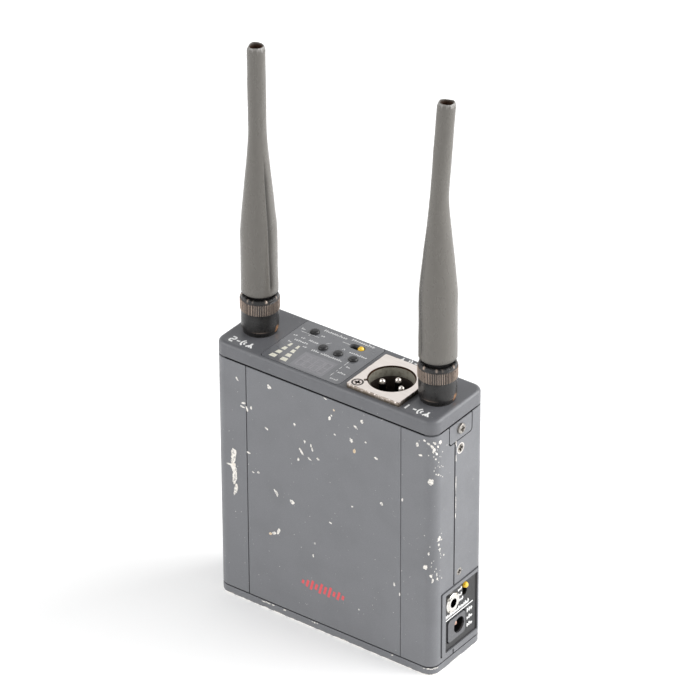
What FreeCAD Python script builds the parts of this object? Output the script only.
import FreeCAD, Part
import os
from math import cos, pi, radians, sin
from FreeCAD import Rotation, Vector

# Portable two-channel wireless microphone receiver, stood on its base.
# Millimetres. +X runs along the wide side, -Y is the front face, +Z is up.
# The origin is at the middle of the underside of the base cap.

# ---- driving dimensions ------------------------------------------------------
BODY_W = 97.0              # case width, along X
BODY_D = 31.4              # case depth, along Y
CORNER_R = 4.4             # radius of the four upright corners
BASE_SEAM_Z = 3.5          # middle of the seam above the base cap
CAP_SEAM_Z = 102.5         # middle of the seam below the top cap
CAP_TOP_Z = 108.6          # top surface of the cap
BASE_SEAM_GAP = 0.5
CAP_SEAM_GAP = 0.7
SHELL_T = 1.6              # wall of the front and rear shells
SIDE_SEAM_Y = -2.8         # where the two shells meet on each side
SIDE_SEAM_GAP = 0.7

PLATE_HALF_W = 34.4        # half width of the front plate's recess
PLATE_T = 0.8
PLATE_GAP = 0.25

CAP_WALL = 2.0
CAP_ROOF_T = 2.4
CAP_EDGE_R = 1.6
SEAM_EDGE_R = 0.25         # rounding of the edges either side of each seam
BASE_EDGE_R = 0.8          # rounding round the underside
LIP_T = 1.2                # lip of each cap that reaches inside the shells
LIP_DROP = 2.3
LIP_CLEAR = 0.15

PANEL_X0, PANEL_X1 = -28.8, 6.1     # control panel outline
PANEL_HALF_D = 14.55
PANEL_T = 1.4
PANEL_GAP = 0.2
PANEL_R = 1.6
PANEL_LEDGE = 1.5

WINDOW = (-16.5, -2.1, -13.6, -3.3)      # x from, x to, y from, y to
METER_Y0, METER_PITCH, METER_BAR = -12.8, 3.05, 2.05
METER_COLUMNS = [(-23.4, -26.1, -24.35), (-21.15, -18.4, -20.3)]  # inner x, outer x low, outer x high

BUTTON_R = 1.75
BUTTON_RISE = 0.9
BUTTON_GAP = 0.06
BUTTON_TRAVEL = 0.4
BUTTONS = {
    "memory_button": (-21.8, 9.3),
    "down_button": (-12.95, 2.3),
    "up_button": (-6.3, 2.3),
    "set_button": (0.35, 2.3),
}

POWER_SLOT = (-3.25, 9.8, 6.3, 3.1)      # centre x, centre y, length, width
POWER_KNOB_X = -1.7
POWER_KNOB_R = 1.2

XLR_X, XLR_Y = 20.4, -2.0
XLR_FLANGE = (8.8, 32.0, -13.8, 10.5)    # x from, x to, y from, y to
XLR_FLANGE_T = 1.6
XLR_MOUTH_R = 8.7
XLR_MOUTH_DEPTH = 0.5
XLR_BORE_R = 8.25
XLR_BARREL_R = 9.3
XLR_DEPTH = 12.0
XLR_METAL_DEPTH = 4.0
XLR_PINS = [(-4.14, 0.0), (0.0, 3.9), (4.14, 0.0)]
XLR_PIN_R = 1.2
XLR_PIN_DROP = 1.65          # from the flange down to the tip of a pin
XLR_SCREWS = [(11.9, -10.9), (28.9, 7.0)]

ANTENNA_X, ANTENNA_Y = 39.1, -0.4
RING_R = 6.9
KNURL_R = 7.25
RING_BORE_R = 4.9
JACK_R = 4.8
LUG_R, LUG_REACH, LUG_RISE = 1.0, 5.5, 6.0

# Heights are above the cap. The upper tube of the right antenna has been bent:
# lean is its angle from upright, heading is the way it leans, from +X.
ANTENNAS = {
    -1: dict(foot=16.7, shoulder=43.0, neck=79.0, tube=36.6, wide=6.8, hem=6.9,
             lean=0.0, heading=0.0),
    1: dict(foot=17.3, shoulder=45.2, neck=80.0, tube=37.4, wide=7.0, hem=7.05,
            lean=5.5, heading=83.0),
}
TUBE_R = 3.4
TIP_R = 2.9
TIP_BORE_R = 2.35
TIP_BORE_DEPTH = 7.0
PLUG_TOP = 30.0
ROD_R = 1.2

SIDE_PANEL = (-10.7, 12.75, 5.7, 33.7)   # cut-out: y from, y to, z from, z to
SIDE_PANEL_GAP = 0.45
SIDE_PANEL_PROUD = 0.35
LABEL = (-8.05, 11.65, 6.75, 31.8)       # black label plate
LABEL_T = 0.45
MONITOR_YZ = (-4.1, 26.9)
MONITOR_BORE_R = 1.8
DC_YZ = (0.4, 14.75)
DC_BLOCK = (-6.4, 4.25, 10.0, 19.3)
DC_BORE_R = 3.2
SIDE_KNOB_Y = 4.25
SIDE_SLOT_Z = (25.6, 31.4)
SIDE_KNOB_Z = 30.0
SIDE_KNOB_R = 1.15

LUG_PLATE = (-6.1, 7.25, 94.7)           # y from, y to, lower edge z
LUG_GAP = 0.5
LUG_SCREW_YZ = (0.4, 98.9)
UPPER_SCREW_YZ = (0.6, 90.4)
LOWER_SCREW_YZ = (0.5, 37.8)
FLAT_SIDE = (2.2, 1.2, 4.1)              # head radius, shank radius, length
SMALL_FLAT_SIDE = (1.5, 0.8, 4.1)

# ---- derived places ----------------------------------------------------------
HALF_W = BODY_W / 2
HALF_D = BODY_D / 2
SHELL_Z0 = BASE_SEAM_Z + BASE_SEAM_GAP / 2
SHELL_Z1 = CAP_SEAM_Z - CAP_SEAM_GAP / 2
BASE_TOP = BASE_SEAM_Z - BASE_SEAM_GAP / 2
CAP_Z0 = CAP_SEAM_Z + CAP_SEAM_GAP / 2
ROOF_Z = CAP_TOP_Z - CAP_ROOF_T
PANEL_Z0 = CAP_TOP_Z - PANEL_T
INNER_X = HALF_W - SHELL_T
INNER_Y = HALF_D - SHELL_T
CHASSIS_X = 45.6                          # outer face of the chassis sides
CHASSIS_T = 1.2
WEB_Y = 8.0                               # front face of the chassis web
MAIN_BOARD_Y = 4.0
BOARD_T = 1.6
DISPLAY_BOARD_Z = 99.6
DISPLAY_BOARD_TOP = DISPLAY_BOARD_Z + BOARD_T
IO_BOARD_X = 34.0
IO_BOARD_FACE = IO_BOARD_X + BOARD_T
PANEL_FACE_X = HALF_W + SIDE_PANEL_PROUD  # outer face of the side panel's frame
POCKET_X = 47.9                           # floor of the pocket for its label
UP = Vector(0, 0, 1)
RIGHT = Vector(1, 0, 0)


# ---- shape helpers -----------------------------------------------------------
def block(x0, x1, y0, y1, z0, z1):
    """A box between two corners."""
    return Part.makeBox(x1 - x0, y1 - y0, z1 - z0, Vector(x0, y0, z0))


def rod(r, start, end):
    """A cylinder from one point to another."""
    run = end - start
    return Part.makeCylinder(r, run.Length, start, run)


def upright(r, x, y, z0, z1):
    """A cylinder standing on the plane z0."""
    return Part.makeCylinder(r, z1 - z0, Vector(x, y, z0))


def crosswise(r, y, z, x0, x1):
    """A cylinder along X."""
    return Part.makeCylinder(r, x1 - x0, Vector(x0, y, z), RIGHT)


def round_face(half_a, half_b, r):
    """A rectangle with round corners about the origin of the XY plane."""
    a, b = half_a - r, half_b - r
    edges = []
    for i, (ca, cb) in enumerate([(a, b), (-a, b), (-a, -b), (a, -b)]):
        corner = Vector(ca, cb, 0)
        points = [corner + r * Vector(cos(t), sin(t), 0)
                  for t in (i * pi / 2, (i + 0.5) * pi / 2, (i + 1) * pi / 2)]
        edges.append(Part.Arc(*points).toShape())
    joined = []
    for i, arc in enumerate(edges):
        joined.append(arc)
        start = arc.Vertexes[-1].Point
        end = edges[(i + 1) % 4].Vertexes[0].Point
        if (end - start).Length > 1e-6:
            joined.append(Part.makeLine(start, end))
    return Part.Face(Part.Wire(joined))


def slab(x0, x1, y0, y1, r, z0, z1):
    """A round-cornered plate lying flat."""
    face = round_face((x1 - x0) / 2, (y1 - y0) / 2, r)
    face.translate(Vector((x0 + x1) / 2, (y0 + y1) / 2, z0))
    return face.extrude(Vector(0, 0, z1 - z0))


def side_slab(y0, y1, z0, z1, r, x0, x1):
    """A round-cornered plate standing in the YZ plane."""
    face = round_face((y1 - y0) / 2, (z1 - z0) / 2, r)
    face.Placement = FreeCAD.Placement(Vector(x0, (y0 + y1) / 2, (z0 + z1) / 2),
                                       Rotation(Vector(1, 1, 1), 120))
    return face.extrude(Vector(x1 - x0, 0, 0))


def body_prism(inset, z0, z1):
    """The case outline, drawn in by inset, between two heights."""
    return slab(-HALF_W + inset, HALF_W - inset, -HALF_D + inset, HALF_D - inset,
                CORNER_R - inset, z0, z1)


def turned(profile, x, y, z):
    """A solid of revolution about the upright axis through (x, y)."""
    points = [Vector(r, 0, h) for r, h in profile]
    face = Part.Face(Part.makePolygon(points + points[:1]))
    solid = face.revolve(Vector(0, 0, 0), UP, 360)
    solid.translate(Vector(x, y, z))
    return solid


def fillet_at_height(solid, r, z):
    """Round every edge that lies wholly in the plane z."""
    edges = [e for e in solid.Edges
             if abs(e.BoundBox.ZMin - z) < 1e-5 and abs(e.BoundBox.ZMax - z) < 1e-5]
    return solid.makeFillet(r, edges)


def export(node, *solids):
    """Write one node, as one solid or as a group of separate solids."""
    shape = solids[0] if len(solids) == 1 else Part.makeCompound(list(solids))
    shape.exportStep("parts/" + node + ".step")


# ---- fasteners ---------------------------------------------------------------
def aimed(solid, place, direction):
    """Move a fastener modelled with its head up to its place."""
    solid.Placement = FreeCAD.Placement(place, Rotation(UP, direction))
    return solid


def cross_recess(head_r, depth):
    """The cross-shaped driver recess of a screw, top at z = 0."""
    arm, width = head_r * 0.62, head_r * 0.2
    return block(-arm, arm, -width, width, -depth, 1).fuse(
        block(-width, width, -arm, arm, -depth, 1))


def flat_screw(place, direction, head_r, shank_r, length):
    """A countersunk screw whose head lies flush at place."""
    cone = head_r - shank_r
    screw = turned([(0, 0), (head_r, 0), (head_r, -0.2), (shank_r, -0.2 - cone),
                    (shank_r, -length), (0, -length)], 0, 0, 0)
    return aimed(screw.cut(cross_recess(head_r, 0.7)), place, direction)


def flat_hole(place, direction, head_r, shank_r, length):
    """The space that a countersunk screw fills, for cutting its seat."""
    cone = head_r - shank_r
    seat = turned([(0, 1), (head_r, 1), (head_r, -0.2), (shank_r, -0.2 - cone),
                   (shank_r, -length), (0, -length)], 0, 0, 0)
    return aimed(seat, place, direction)


def pan_screw(place, direction, head_r, head_h, shank_r, length):
    """A pan-head screw whose head stands on place."""
    screw = upright(head_r, 0, 0, 0, head_h)
    screw = fillet_at_height(screw, head_h * 0.55, head_h)
    screw = screw.fuse(upright(shank_r, 0, 0, -length, 0))
    recess = cross_recess(head_r, 0.7)
    recess.translate(Vector(0, 0, head_h))
    return aimed(screw.cut(recess), place, direction)


def facing(side):
    """The outward direction of the right (1) or left (-1) side."""
    return Vector(side, 0, 0)


# ---- caps --------------------------------------------------------------------
def cap_lip(z0, z1):
    """The thin wall of a cap that reaches up or down inside the shells."""
    outer = SHELL_T + LIP_CLEAR
    return body_prism(outer, z0, z1).cut(body_prism(outer + LIP_T, z0 - 1, z1 + 1))


def base_screw_places():
    return [Vector(x, y, 0) for x in (-38, 26) for y in (-7, 5)]


def base_cap():
    """Shallow metal tray that closes the case from below."""
    tray = body_prism(0, 0, BASE_TOP)
    tray = fillet_at_height(tray, BASE_EDGE_R, 0)
    tray = fillet_at_height(tray, SEAM_EDGE_R, BASE_TOP)
    tray = tray.cut(body_prism(SHELL_T + LIP_CLEAR + LIP_T, 1.8, BASE_TOP + 1))
    tray = tray.fuse(cap_lip(BASE_TOP, BASE_TOP + LIP_DROP))
    for place in base_screw_places():
        tray = tray.fuse(upright(3.2, place.x, place.y, 1.8, 6.2))
        tray = tray.cut(flat_hole(place, -UP, 2.4, 1.3, 7.0))
    return tray


def panel_slab(grow, z0, z1, r):
    return slab(PANEL_X0 - grow, PANEL_X1 + grow, -PANEL_HALF_D - grow,
                PANEL_HALF_D + grow, r, z0, z1)


def top_cap():
    """Cast cap: open below, with seats for the panel and the connectors."""
    cap = body_prism(0, CAP_Z0, CAP_TOP_Z)
    cap = fillet_at_height(cap, CAP_EDGE_R, CAP_TOP_Z)
    cap = fillet_at_height(cap, SEAM_EDGE_R, CAP_Z0)
    cap = cap.cut(body_prism(CAP_WALL, CAP_Z0 - 1, ROOF_Z))
    cap = cap.fuse(cap_lip(CAP_Z0 - LIP_DROP, ROOF_Z))
    cap = cap.cut(panel_slab(PANEL_GAP / 2, PANEL_Z0, CAP_TOP_Z + 1, PANEL_R))
    cap = cap.cut(panel_slab(-PANEL_LEDGE, ROOF_Z - 1, PANEL_Z0 + 1, 1.0))
    cap = cap.cut(upright(XLR_BARREL_R + 0.05, XLR_X, XLR_Y, ROOF_Z - 1, CAP_TOP_Z + 1))
    for x, y in XLR_SCREWS:
        cap = cap.cut(upright(1.2, x, y, ROOF_Z - 1, CAP_TOP_Z + 1))
    for side in (-1, 1):
        cap = cap.cut(upright(4.7, side * ANTENNA_X, ANTENNA_Y, ROOF_Z - 1, CAP_TOP_Z + 1))
    return cap


# ---- shells ------------------------------------------------------------------
def side_openings(side):
    """What is cut from both shells on one side: lug notch, screws, side panel."""
    x0, x1 = sorted((side * (INNER_X - 3), side * (HALF_W + 3)))
    y0, y1, z0 = LUG_PLATE
    cuts = [side_slab(y0 - LUG_GAP, y1 + LUG_GAP, z0 - LUG_GAP, SHELL_Z1 + 10, 1.6, x0, x1)]
    for yz, sizes in ((UPPER_SCREW_YZ, FLAT_SIDE), (LOWER_SCREW_YZ, SMALL_FLAT_SIDE)):
        place = Vector(side * HALF_W, *yz)
        cuts.append(flat_hole(place, facing(side), *sizes))
    if side > 0:
        py0, py1, pz0, pz1 = SIDE_PANEL
        cuts.append(side_slab(py0, py1, pz0, pz1, 0.6, x0 - 1, x1))
    return cuts


def shell(front):
    """Half of the case wall, front or rear of the side seams."""
    wall = body_prism(0, SHELL_Z0, SHELL_Z1)
    wall = fillet_at_height(wall, SEAM_EDGE_R, SHELL_Z0)
    wall = fillet_at_height(wall, SEAM_EDGE_R, SHELL_Z1)
    wall = wall.cut(body_prism(SHELL_T, SHELL_Z0 - 1, SHELL_Z1 + 1))
    if front:
        edge = SIDE_SEAM_Y - SIDE_SEAM_GAP / 2
        wall = wall.cut(block(-60, 60, edge, 40, 0, 120))
        wall = wall.cut(block(-PLATE_HALF_W, PLATE_HALF_W, -HALF_D - 1,
                              -HALF_D + PLATE_T, 0, 120))
    else:
        edge = SIDE_SEAM_Y + SIDE_SEAM_GAP / 2
        wall = wall.cut(block(-60, 60, -40, edge, 0, 120))
        for side in (-1, 1):
            low = SIDE_PANEL[3] + 1 if side > 0 else SHELL_Z0 + 3
            x0, x1 = sorted((side * (INNER_X - 1.1), side * (INNER_X + 0.4)))
            strip = block(x0, x1, edge, edge + 1.9, low, LUG_PLATE[2] - 2)
            x0, x1 = sorted((side * (INNER_X - 1.1), side * (INNER_X - 0.1)))
            tongue = block(x0, x1, edge - 2.2, edge, low, LUG_PLATE[2] - 2)
            wall = wall.fuse(strip).fuse(tongue)
    for side in (-1, 1):
        for cut in side_openings(side):
            wall = wall.cut(cut)
    return wall


def front_plate():
    """Thin plate let into the front shell between the two corner strips."""
    x = PLATE_HALF_W - PLATE_GAP
    plate = block(-x, x, -HALF_D, -HALF_D + PLATE_T, SHELL_Z0, SHELL_Z1)
    return plate.makeFillet(SEAM_EDGE_R, [e for e in plate.Edges if abs(e.BoundBox.YMax + HALF_D) < 1e-6])


def side_lug(side):
    """Lug that ties the top cap's end of the shells to the chassis."""
    y0, y1, z0 = LUG_PLATE
    x0, x1 = sorted((side * INNER_X, side * HALF_W))
    plate = side_slab(y0, y1, z0, SHELL_Z1 + 5, 1.2, x0, x1)
    plate = plate.cut(block(-60, 60, -40, 40, SHELL_Z1, 120))
    x0, x1 = sorted((side * CHASSIS_X, side * INNER_X))
    plate = plate.fuse(block(x0, x1, y0 + 3, y1 - 3, z0 + 1, 100.2))
    y, z = LUG_SCREW_YZ
    return plate.cut(rod(1.2, Vector(side * 44, y, z), Vector(side * 50, y, z)))


# ---- chassis and boards ------------------------------------------------------
def standoff_places():
    return [Vector(x, 0, z) for x, z in ((-40, 44), (40, 44), (-14, 86), (-14, 14))]


def chassis():
    """Folded sheet: a back web, two side flanges and a bottom flange."""
    x = CHASSIS_X
    t = CHASSIS_T
    sheet = block(-x, x, WEB_Y, WEB_Y + t, 6.2, 98)
    sheet = sheet.cut(block(IO_BOARD_X - 2, 60, -20, 20, 0, SIDE_PANEL[3] + 1.5))
    sheet = sheet.fuse(block(-x, -x + t, -6, WEB_Y + t, 6.2, 100))
    sheet = sheet.fuse(block(x - t, x, -6, WEB_Y + t, SIDE_PANEL[3] + 1.5, 100))
    sheet = sheet.fuse(block(-x, IO_BOARD_X - 3, -10, WEB_Y + t, 6.2, 7.4))
    for place in base_screw_places():
        sheet = sheet.cut(upright(1.3, place.x, place.y, 5, 9))
    for side in (-1, 1):
        for (y, z), r in ((LUG_SCREW_YZ, 1.2), (UPPER_SCREW_YZ, 1.2), (LOWER_SCREW_YZ, 0.8)):
            sheet = sheet.cut(rod(r, Vector(side * 44, y, z), Vector(side * 48, y, z)))
    for place in standoff_places():
        sheet = sheet.cut(rod(1.1, Vector(place.x, WEB_Y - 1, place.z),
                              Vector(place.x, WEB_Y + 3, place.z)))
    return sheet


def standoff(place):
    """Spacer between the chassis web and the main board."""
    y0, y1 = MAIN_BOARD_Y + BOARD_T, WEB_Y
    post = rod(2.4, Vector(place.x, y0, place.z), Vector(place.x, y1, place.z))
    return post.cut(rod(1.1, Vector(place.x, y0 - 1, place.z), Vector(place.x, y1 + 1, place.z)))


def board_screw(place):
    return pan_screw(Vector(place.x, MAIN_BOARD_Y, place.z), Vector(0, -1, 0), 2.1, 1.3, 1.1,
                     WEB_Y + CHASSIS_T - MAIN_BOARD_Y)


def main_board():
    """Receiver board, notched at the lower right for the side panel's board."""
    board = block(-43.5, 43.5, MAIN_BOARD_Y, MAIN_BOARD_Y + BOARD_T, 9, 92)
    board = board.cut(block(IO_BOARD_X - 2, 60, -20, 20, 0, SIDE_PANEL[3] + 2))
    for place in standoff_places():
        board = board.cut(rod(1.1, Vector(place.x, 0, place.z), Vector(place.x, 9, place.z)))
    return board


def tuner_can(side):
    """Folded shield with an open back, soldered over one tuner."""
    x0, x1 = sorted((side * 18, side * 43))
    can = block(x0, x1, -7, MAIN_BOARD_Y, 50, 88)
    can = can.makeFillet(0.8, [e for e in can.Edges
                               if abs(e.BoundBox.YMax + 7) < 1e-6 and abs(e.BoundBox.YMin + 7) < 1e-6])
    return can.cut(block(x0 + 0.5, x1 - 0.5, -6.5, MAIN_BOARD_Y + 1, 50.5, 87.5))


def power_converter():
    """Screened converter block beside the output transformer."""
    can = block(-42, -22, -6, MAIN_BOARD_Y, 14, 36)
    return can.makeFillet(0.8, [e for e in can.Edges
                                if abs(e.BoundBox.YMax + 6) < 1e-6 and abs(e.BoundBox.YMin + 6) < 1e-6])


def output_transformer():
    """Laminated core with its round winding standing proud on both sides."""
    core = block(4, 22, -6, MAIN_BOARD_Y, 12, 30)
    window = block(7, 19, -7, 5, 15, 27).cut(block(10, 16, -8, 6, 14, 28))
    winding = block(8, 18, -4, 2, 15.5, 26.5).cut(block(10, 16, -5, 3, 14, 28))
    return core.cut(window).fuse(winding).removeSplitter()


def display_board():
    return block(-30, 8, -12, 12, DISPLAY_BOARD_Z, DISPLAY_BOARD_TOP)


def board_header():
    """Row connector between the main board and the display board."""
    return block(-12, 4, 3, 6.6, 92, DISPLAY_BOARD_Z)


# ---- control panel -----------------------------------------------------------
def meter_bars(z0, z1):
    """Eight tapering bars in two wedge-shaped columns."""
    bars = []
    span = 3 * METER_PITCH + METER_BAR
    for inner, low, high in METER_COLUMNS:
        for row in range(4):
            y = METER_Y0 + row * METER_PITCH
            outer = [low + (high - low) * (v - METER_Y0) / span for v in (y, y + METER_BAR)]
            corners = [Vector(inner, y, z0), Vector(outer[0], y, z0),
                       Vector(outer[1], y + METER_BAR, z0), Vector(inner, y + METER_BAR, z0)]
            face = Part.Face(Part.makePolygon(corners + corners[:1]))
            bars.append(face.extrude(Vector(0, 0, z1 - z0)))
    return bars


def stadium(cx, cy, length, width, z0, z1):
    return slab(cx - length / 2, cx + length / 2, cy - width / 2, cy + width / 2,
                width / 2 - 0.001, z0, z1)


def control_panel():
    """Glossy plate with the holes for window, meter, buttons and switch."""
    plate = panel_slab(-PANEL_GAP / 2, PANEL_Z0, CAP_TOP_Z, PANEL_R - 0.1)
    plate = plate.cut(slab(*WINDOW, 0.4, PANEL_Z0 - 1, CAP_TOP_Z + 1))
    for bar in meter_bars(PANEL_Z0 - 1, CAP_TOP_Z + 1):
        plate = plate.cut(bar)
    for x, y in BUTTONS.values():
        plate = plate.cut(upright(BUTTON_R + BUTTON_GAP, x, y, PANEL_Z0 - 1, CAP_TOP_Z + 1))
    return plate.cut(stadium(*POWER_SLOT, PANEL_Z0 - 1, CAP_TOP_Z + 1))


def button(x, y):
    """Domed cap on a retaining flange and a short stem."""
    top = CAP_TOP_Z + BUTTON_RISE
    cap = turned([(0, -3.3), (1.2, -3.3), (1.2, -2.3), (2.25, -2.3), (2.25, -1.6),
                  (BUTTON_R, -1.6), (BUTTON_R, BUTTON_RISE - 0.45), (1.45, BUTTON_RISE - 0.15),
                  (0.9, BUTTON_RISE - 0.03), (0, BUTTON_RISE)], x, y, CAP_TOP_Z)
    assert abs(cap.BoundBox.ZMax - top) < 1e-6
    return cap


def tact_switch(x, y):
    """Square key switch under a button, with its round plunger."""
    z = DISPLAY_BOARD_TOP
    return block(x - 3, x + 3, y - 3, y + 3, z, z + 3.0).fuse(upright(1.5, x, y, z + 3.0, z + 3.6))


def display_module():
    """Two-digit segment module under the window."""
    x0, x1, y0, y1 = WINDOW
    return block(x0 + 0.3, x1 - 0.3, y0 + 1.0, y1 - 0.3, DISPLAY_BOARD_TOP, PANEL_Z0 - 0.1)


def meter_block():
    """Light bar block under the meter's diffusers."""
    return block(-26.3, -18.3, -12.6, -0.9, DISPLAY_BOARD_TOP, PANEL_Z0 - 0.1)


def power_switch_body():
    """Slide switch housing with the channel that its knob runs in."""
    cx, cy, length, width = POWER_SLOT
    half_l, half_w = length / 2 + 1.4, width / 2 + 0.8
    housing = block(cx - half_l, cx + half_l, cy - half_w, cy + half_w, DISPLAY_BOARD_TOP,
                    PANEL_Z0 - 0.1)
    return housing.cut(block(cx - 2.9, cx + 2.9, cy - 0.8, cy + 0.8, 104.0, CAP_TOP_Z))


def power_switch_knob():
    """Ball-ended knob on a flat stem."""
    x, y = POWER_KNOB_X, POWER_SLOT[1]
    ball = Part.makeSphere(POWER_KNOB_R, Vector(x, y, CAP_TOP_Z - 0.35))
    neck = upright(POWER_KNOB_R, x, y, CAP_TOP_Z - 1.3, CAP_TOP_Z - 0.35)
    stem = block(x - 0.9, x + 0.9, y - 0.7, y + 0.7, 104.4, CAP_TOP_Z - 1.0)
    return ball.fuse(neck).fuse(stem).removeSplitter()


# ---- balanced audio output ---------------------------------------------------
def xlr_shell():
    """Nickel-plated flange with its barrel, stepped mouth and latch notch."""
    x0, x1, y0, y1 = XLR_FLANGE
    top = CAP_TOP_Z + XLR_FLANGE_T
    flange = slab(x0, x1, y0, y1, 0.9, CAP_TOP_Z, top)
    flange = fillet_at_height(flange, 0.3, top)
    shell_body = flange.fuse(upright(XLR_BARREL_R, XLR_X, XLR_Y, 96.0, top))
    shell_body = shell_body.cut(upright(XLR_BORE_R, XLR_X, XLR_Y, 90, top + 2))
    step = top - XLR_MOUTH_DEPTH
    shell_body = shell_body.cut(upright(XLR_MOUTH_R, XLR_X, XLR_Y, step, top + 2))
    shell_body = shell_body.cut(upright(8.8, XLR_X, XLR_Y, 90, top - XLR_METAL_DEPTH))
    notch = block(8.0, 9.9, -0.65, 0.65, top - 1.2, top + 2)
    notch.rotate(Vector(0, 0, 0), UP, 220)
    notch.translate(Vector(XLR_X, XLR_Y, 0))
    shell_body = shell_body.cut(notch)
    for x, y in XLR_SCREWS:
        shell_body = shell_body.cut(flat_hole(Vector(x, y, top), UP, 2.0, 1.2, 4.0))
    return shell_body.removeSplitter()


def xlr_insert():
    """Black moulded cup that carries the pins."""
    top = CAP_TOP_Z + XLR_FLANGE_T
    floor = top - XLR_DEPTH
    cup = upright(8.8, XLR_X, XLR_Y, 94.5, top - XLR_METAL_DEPTH)
    cup = cup.cut(upright(XLR_BORE_R, XLR_X, XLR_Y, floor, top))
    for x, y in XLR_PINS:
        cup = cup.cut(upright(XLR_PIN_R, XLR_X + x, XLR_Y + y, 90, top))
    return cup


def xlr_pin(x, y):
    """Round-nosed contact with a solder tail below."""
    tip = CAP_TOP_Z + XLR_FLANGE_T - XLR_PIN_DROP
    r = XLR_PIN_R
    nose = [(r * cos(radians(a)), tip - r + r * sin(radians(a))) for a in (0, 30, 60)]
    profile = [(0, 92.0), (0.8, 92.0), (0.8, 94.5), (r, 94.5)] + nose + [(0, tip)]
    return turned(profile, XLR_X + x, XLR_Y + y, 0)


# ---- antenna connectors ------------------------------------------------------
def jack_body(side):
    """Bayonet jack: foot flange, barrel, two lugs and a threaded tail."""
    x, y = side * ANTENNA_X, ANTENNA_Y
    body = turned([(0, -9), (4.7, -9), (4.7, 0), (6.3, 0), (6.3, 0.6), (JACK_R, 0.6),
                   (JACK_R, 10.6), (0, 10.6)], x, y, CAP_TOP_Z)
    z = CAP_TOP_Z + LUG_RISE
    body = body.fuse(rod(LUG_R, Vector(x - LUG_REACH, y, z), Vector(x + LUG_REACH, y, z)))
    body = body.cut(upright(4.05, x, y, CAP_TOP_Z - 10, CAP_TOP_Z + 11))
    return body


def jack_insulator(side):
    x, y = side * ANTENNA_X, ANTENNA_Y
    disc = upright(4.05, x, y, CAP_TOP_Z - 8, CAP_TOP_Z + 3)
    return disc.cut(upright(1.2, x, y, CAP_TOP_Z - 9, CAP_TOP_Z + 4))


def jack_contact(side):
    """Sprung centre socket with a tail for the lead below."""
    x, y = side * ANTENNA_X, ANTENNA_Y
    pin = upright(1.2, x, y, CAP_TOP_Z - 10, CAP_TOP_Z + 9)
    return pin.cut(upright(0.75, x, y, CAP_TOP_Z + 3, CAP_TOP_Z + 10))


def jack_nut(side):
    """Thin hexagon nut under the roof of the cap."""
    x, y = side * ANTENNA_X, ANTENNA_Y
    corners = [Vector(6.6 * cos(t), 6.6 * sin(t), 0)
               for t in ((i + 0.5) * pi / 3 for i in range(7))]
    nut = Part.Face(Part.makePolygon(corners)).extrude(Vector(0, 0, 2))
    nut.translate(Vector(x, y, ROOF_Z - 2))
    return nut.cut(upright(4.7, x, y, ROOF_Z - 3, ROOF_Z + 1))


def coax_lead(side):
    """Short lead from a jack's tail straight down to its tuner."""
    x, y = side * ANTENNA_X, ANTENNA_Y
    return upright(1.4, x, y, 88, CAP_TOP_Z - 10)


def coupling_ring(side):
    """Bayonet ring: plain skirt, knurled band, lug track and entry slots."""
    x, y = side * ANTENNA_X, ANTENNA_Y
    bore = RING_BORE_R
    ring = turned([(bore, 0.8), (6.45, 0.8), (RING_R, 2.2), (RING_R, 9.1), (KNURL_R, 9.4),
                   (KNURL_R, 13.8), (RING_R, 14.0), (RING_R, 14.9), (6.5, 15.4),
                   (bore, 15.4)], x, y, CAP_TOP_Z)
    track = LUG_REACH + 0.2
    low, high = LUG_RISE - LUG_R - 0.15, LUG_RISE + LUG_R + 0.15
    groove = turned([(bore - 0.5, low), (track, low), (track, high), (bore - 0.5, high)],
                    x, y, CAP_TOP_Z)
    slots = block(-1.2, 1.2, -track, track, 0, high).cut(upright(bore - 0.5, 0, 0, -1, 20))
    slots.translate(Vector(x, y, CAP_TOP_Z))
    snap = turned([(bore - 0.5, 12.1), (5.62, 12.1), (5.62, 13.3), (bore - 0.5, 13.3)],
                  x, y, CAP_TOP_Z)
    return ring.cut(groove).cut(slots).cut(snap)


# ---- antennas ----------------------------------------------------------------
def antenna_axis(side):
    """Foot, bend and tip of one antenna's centre line."""
    a = ANTENNAS[side]
    foot = Vector(side * ANTENNA_X, ANTENNA_Y, CAP_TOP_Z)
    bend = foot + Vector(0, 0, a["neck"])
    tilt, way = radians(a["lean"]), radians(a["heading"])
    lean = Vector(sin(tilt) * cos(way), sin(tilt) * sin(way), cos(tilt))
    return foot, bend, lean


def antenna_rod(side):
    """Centre pin and whip wire in one conductor."""
    a = ANTENNAS[side]
    foot, bend, lean = antenna_axis(side)
    pin = rod(0.68, foot + Vector(0, 0, 5), foot + Vector(0, 0, PLUG_TOP))
    lower = rod(ROD_R, foot + Vector(0, 0, PLUG_TOP), bend)
    upper = rod(ROD_R, bend, bend + lean * (a["tube"] - TIP_BORE_DEPTH - 4))
    return pin.fuse(lower).fuse(Part.makeSphere(ROD_R, bend)).fuse(upper).removeSplitter()


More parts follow.
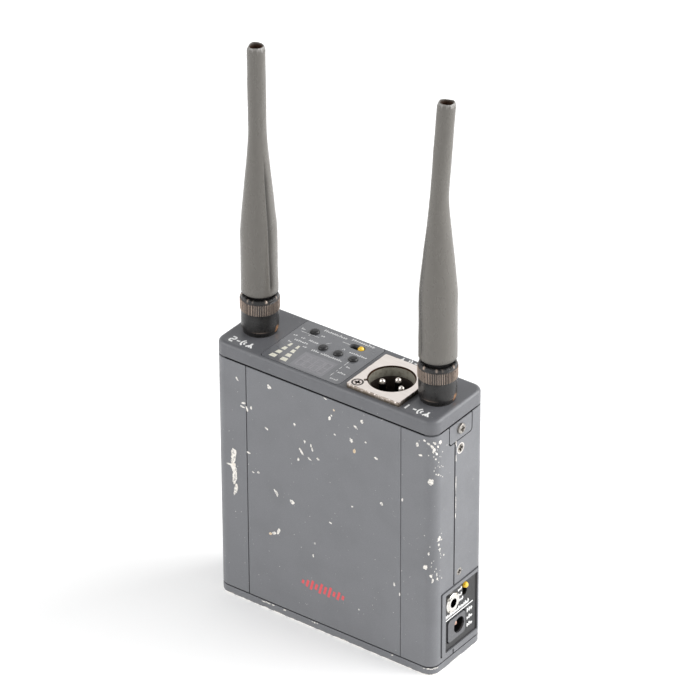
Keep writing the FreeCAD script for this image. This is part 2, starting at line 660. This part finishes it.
def antenna_sleeve(side):
    """Rubber sleeve: wide foot, long taper and a thin open-ended tube."""
    a = ANTENNAS[side]
    foot, bend, lean = antenna_axis(side)
    wide, neck, shoulder = a["wide"], a["neck"], a["shoulder"]
    lower = turned([(0, a["foot"]), (a["hem"], a["foot"]), (a["hem"], a["foot"] + 0.6),
                    (wide, a["foot"] + 6), (wide, shoulder), (0, shoulder)],
                   foot.x, foot.y, foot.z)
    start = Part.Wire(Part.makeCircle(wide, foot + Vector(0, 0, shoulder), UP))
    end = Part.Wire(Part.makeCircle(TUBE_R, bend, lean))
    taper = Part.makeLoft([start, end], True)
    tip = bend + lean * a["tube"]
    tube = rod(TUBE_R, bend, tip - lean * 1.6)
    crimp = Part.makeCone(TUBE_R, TIP_R, 1.6, tip - lean * 1.6, lean)
    sleeve = lower.fuse(taper).fuse(tube).fuse(crimp)
    sleeve = sleeve.cut(rod(TIP_BORE_R, tip - lean * TIP_BORE_DEPTH, tip + lean))
    sleeve = sleeve.cut(rod(5.0, foot, foot + Vector(0, 0, PLUG_TOP)))
    return sleeve.cut(antenna_rod(side)).removeSplitter()


def antenna_plug(side):
    """Plug barrel: contact sleeve, retaining collar and ferrule."""
    x, y = side * ANTENNA_X, ANTENNA_Y
    foot = ANTENNAS[side]["foot"]
    body = turned([(0, 3.6), (3.95, 3.6), (3.95, 10.8), (4.8, 10.8), (4.8, 12.2), (5.5, 12.2),
                   (5.5, 13.2), (4.8, 13.2), (4.8, foot), (5.0, foot), (5.0, PLUG_TOP),
                   (0, PLUG_TOP)], x, y, CAP_TOP_Z)
    body = body.cut(upright(3.3, x, y, CAP_TOP_Z + 3, CAP_TOP_Z + 10.8))
    return body.cut(upright(2.3, x, y, CAP_TOP_Z + 3, CAP_TOP_Z + PLUG_TOP + 1))


def plug_insulator(side):
    x, y = side * ANTENNA_X, ANTENNA_Y
    tube = upright(2.3, x, y, CAP_TOP_Z + 9.6, CAP_TOP_Z + PLUG_TOP)
    return tube.cut(upright(0.68, x, y, CAP_TOP_Z, CAP_TOP_Z + PLUG_TOP + 1))


# ---- side panel --------------------------------------------------------------
def dc_cutout(x0, x1):
    y0, y1, z0, z1 = DC_BLOCK
    g = SIDE_PANEL_GAP
    return side_slab(y0 - g, y1 + g, z0 - g, z1 + g, 1.6, x0, x1)


def side_slot(x0, x1):
    z0, z1 = SIDE_SLOT_Z
    return side_slab(SIDE_KNOB_Y - 1.35, SIDE_KNOB_Y + 1.35, z0, z1, 1.3, x0, x1)


def side_panel_frame():
    """Moulded frame set in the right side, with a pocket for its label."""
    y0, y1, z0, z1 = SIDE_PANEL
    g = SIDE_PANEL_GAP
    frame = side_slab(y0 + g, y1 - g, z0 + g, z1 - g, 0.5, CHASSIS_X, PANEL_FACE_X)
    frame = frame.cut(side_slab(*LABEL, 0.3, POCKET_X, PANEL_FACE_X + 1))
    frame = frame.cut(dc_cutout(CHASSIS_X - 1, POCKET_X + 1))
    frame = frame.cut(side_slot(CHASSIS_X - 1, POCKET_X + 1))
    return frame.cut(crosswise(2.95, *MONITOR_YZ, CHASSIS_X - 1, PANEL_FACE_X + 1))


def side_label():
    """Thin black plate glued in the frame's pocket."""
    face_x = POCKET_X + LABEL_T
    plate = side_slab(*LABEL, 0.3, POCKET_X, face_x)
    plate = plate.cut(dc_cutout(POCKET_X - 1, face_x + 1))
    plate = plate.cut(side_slot(POCKET_X - 1, face_x + 1))
    return plate.cut(crosswise(2.95, *MONITOR_YZ, POCKET_X - 1, face_x + 1))


def monitor_jack():
    """3.5 mm jack: moulded body behind the panel and a threaded bush."""
    y, z = MONITOR_YZ
    body = block(IO_BOARD_FACE, CHASSIS_X, y - 4, y + 4, z - 4, z + 4)
    body = body.fuse(crosswise(2.9, y, z, CHASSIS_X - 0.5, 49.4))
    return body.cut(crosswise(MONITOR_BORE_R, y, z, 37.4, 51))


def monitor_nut():
    """Round nut with four driver notches."""
    y, z = MONITOR_YZ
    x0, x1 = POCKET_X + LABEL_T, 49.3
    nut = crosswise(3.9, y, z, x0, x1)
    nut = nut.makeFillet(0.3, [e for e in nut.Edges if abs(e.BoundBox.XMin - x1) < 1e-6])
    nut = nut.cut(crosswise(2.9, y, z, x0 - 1, x1 + 1))
    for i in range(4):
        notch = block(x0 + 0.35, x1 + 1, -0.45, 0.45, 3.3, 5)
        notch.rotate(Vector(0, 0, 0), RIGHT, 45 + 90 * i)
        notch.translate(Vector(0, y, z))
        nut = nut.cut(notch)
    return nut


def dc_jack():
    """Power inlet: square housing with a deep round socket."""
    y0, y1, z0, z1 = DC_BLOCK
    housing = side_slab(y0, y1, z0, z1, 1.4, IO_BOARD_FACE, HALF_W + 0.25)
    housing = housing.cut(crosswise(DC_BORE_R, *DC_YZ, 38.7, 51))
    return housing.cut(crosswise(1.0, *DC_YZ, 36, 39))


def dc_pin():
    """Centre contact of the power inlet, with a round nose."""
    pin = crosswise(1.0, *DC_YZ, IO_BOARD_FACE + 1, 47.4)
    return pin.makeFillet(0.6, [e for e in pin.Edges if abs(e.BoundBox.XMin - 47.4) < 1e-6])


def side_switch_body():
    """Slide switch housing behind the panel, with the knob's channel."""
    y = SIDE_KNOB_Y
    z0, z1 = SIDE_SLOT_Z
    housing = block(IO_BOARD_FACE + 2, CHASSIS_X - 0.1, y - 2.9, y + 3.4, z0 - 1.4, z1 + 1.0)
    return housing.cut(block(43.0, 47, y - 0.8, y + 0.8, z0 + 0.2, z1 - 0.2))


def side_switch_knob():
    """Ball-ended knob on a flat stem."""
    y, z = SIDE_KNOB_Y, SIDE_KNOB_Z
    centre_x = POCKET_X + LABEL_T + 0.25
    ball = Part.makeSphere(SIDE_KNOB_R, Vector(centre_x, y, z))
    neck = crosswise(SIDE_KNOB_R, y, z, centre_x - 1.0, centre_x)
    stem = block(43.4, centre_x - 0.8, y - 0.7, y + 0.7, z - 0.9, z + 0.9)
    return ball.fuse(neck).fuse(stem).removeSplitter()


def io_board():
    return block(IO_BOARD_X, IO_BOARD_FACE, -9.5, 7.5, 8.5, 32.5)


# ---- every node --------------------------------------------------------------
def make_case():
    export("base_cap", base_cap())
    export("base_cap_screws", *[flat_screw(p, -UP, 2.4, 1.3, 7.0) for p in base_screw_places()])
    export("front_shell", shell(front=True))
    export("rear_shell", shell(front=False))
    export("front_plate", front_plate())
    export("top_cap", top_cap())
    export("side_lugs", side_lug(-1), side_lug(1))
    lug, upper, lower = [], [], []
    for side in (-1, 1):
        x, out = side * HALF_W, facing(side)
        lug.append(pan_screw(Vector(x, *LUG_SCREW_YZ), out, 2.0, 1.0, 1.2, 4.1))
        upper.append(flat_screw(Vector(x, *UPPER_SCREW_YZ), out, *FLAT_SIDE))
        lower.append(flat_screw(Vector(x, *LOWER_SCREW_YZ), out, *SMALL_FLAT_SIDE))
    export("lug_screws", *lug)
    export("upper_side_screws", *upper)
    export("lower_side_screws", *lower)


def make_inside():
    export("chassis", chassis())
    export("main_board", main_board())
    export("board_standoffs", *[standoff(p) for p in standoff_places()])
    export("board_screws", *[board_screw(p) for p in standoff_places()])
    export("tuner_can_left", tuner_can(-1))
    export("tuner_can_right", tuner_can(1))
    export("power_converter", power_converter())
    export("output_transformer", output_transformer())
    export("display_board", display_board())
    export("board_header", board_header())
    export("io_board", io_board())
    export("coax_leads", coax_lead(-1), coax_lead(1))


def make_controls():
    export("control_panel", control_panel())
    export("display_window", slab(*WINDOW, 0.4, PANEL_Z0, CAP_TOP_Z))
    export("display_module", display_module())
    export("meter_diffusers", *meter_bars(PANEL_Z0, CAP_TOP_Z))
    export("meter_block", meter_block())
    for name, (x, y) in BUTTONS.items():
        export(name, button(x, y))
    export("tact_switches", *[tact_switch(x, y) for x, y in BUTTONS.values()])
    export("power_switch_body", power_switch_body())
    export("power_switch_knob", power_switch_knob())


def make_connectors():
    export("xlr_shell", xlr_shell())
    export("xlr_insert", xlr_insert())
    export("xlr_pins", *[xlr_pin(x, y) for x, y in XLR_PINS])
    top = CAP_TOP_Z + XLR_FLANGE_T
    export("xlr_screws", *[flat_screw(Vector(x, y, top), UP, 2.0, 1.2, 6.5) for x, y in XLR_SCREWS])
    export("antenna_jacks", jack_body(-1), jack_body(1))
    export("jack_insulators", jack_insulator(-1), jack_insulator(1))
    export("jack_contacts", jack_contact(-1), jack_contact(1))
    export("jack_nuts", jack_nut(-1), jack_nut(1))


def make_antennas():
    for side, word in ((-1, "left"), (1, "right")):
        export("coupling_ring_" + word, coupling_ring(side))
        export("antenna_plug_" + word, antenna_plug(side))
        export("plug_insulator_" + word, plug_insulator(side))
        export("antenna_rod_" + word, antenna_rod(side))
        export("antenna_sleeve_" + word, antenna_sleeve(side))


def make_side_panel():
    export("side_panel_frame", side_panel_frame())
    export("side_label", side_label())
    export("monitor_jack", monitor_jack())
    export("monitor_nut", monitor_nut())
    export("dc_jack", dc_jack())
    export("dc_pin", dc_pin())
    export("side_switch_body", side_switch_body())
    export("side_switch_knob", side_switch_knob())


os.makedirs("parts", exist_ok=True)
make_case()
make_inside()
make_controls()
make_connectors()
make_antennas()
make_side_panel()
